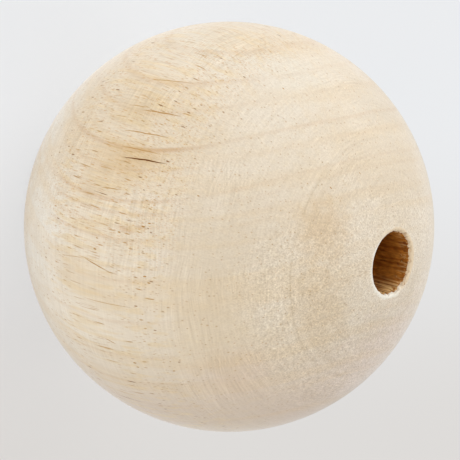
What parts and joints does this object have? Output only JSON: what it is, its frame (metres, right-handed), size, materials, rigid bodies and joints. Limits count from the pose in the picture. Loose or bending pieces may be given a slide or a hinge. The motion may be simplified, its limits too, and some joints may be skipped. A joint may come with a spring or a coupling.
{
  "type": "wooden bead",
  "caption": "Plain turned hardwood ball drilled straight through along the grain, for threading on a cord or a dowel.",
  "frame": {"origin": "centre of the ball, halfway along the hole", "axes": "+Z along the hole, which runs with the grain; the bead stands on the rim of the lower mouth"},
  "size_m": [0.06, 0.06, 0.0592],
  "materials": {
    "wood": "unfinished, sanded pale hardwood, matt"
  },
  "bodies": {
    "root": {"bead": "wood"}
  },
  "joints": []
}
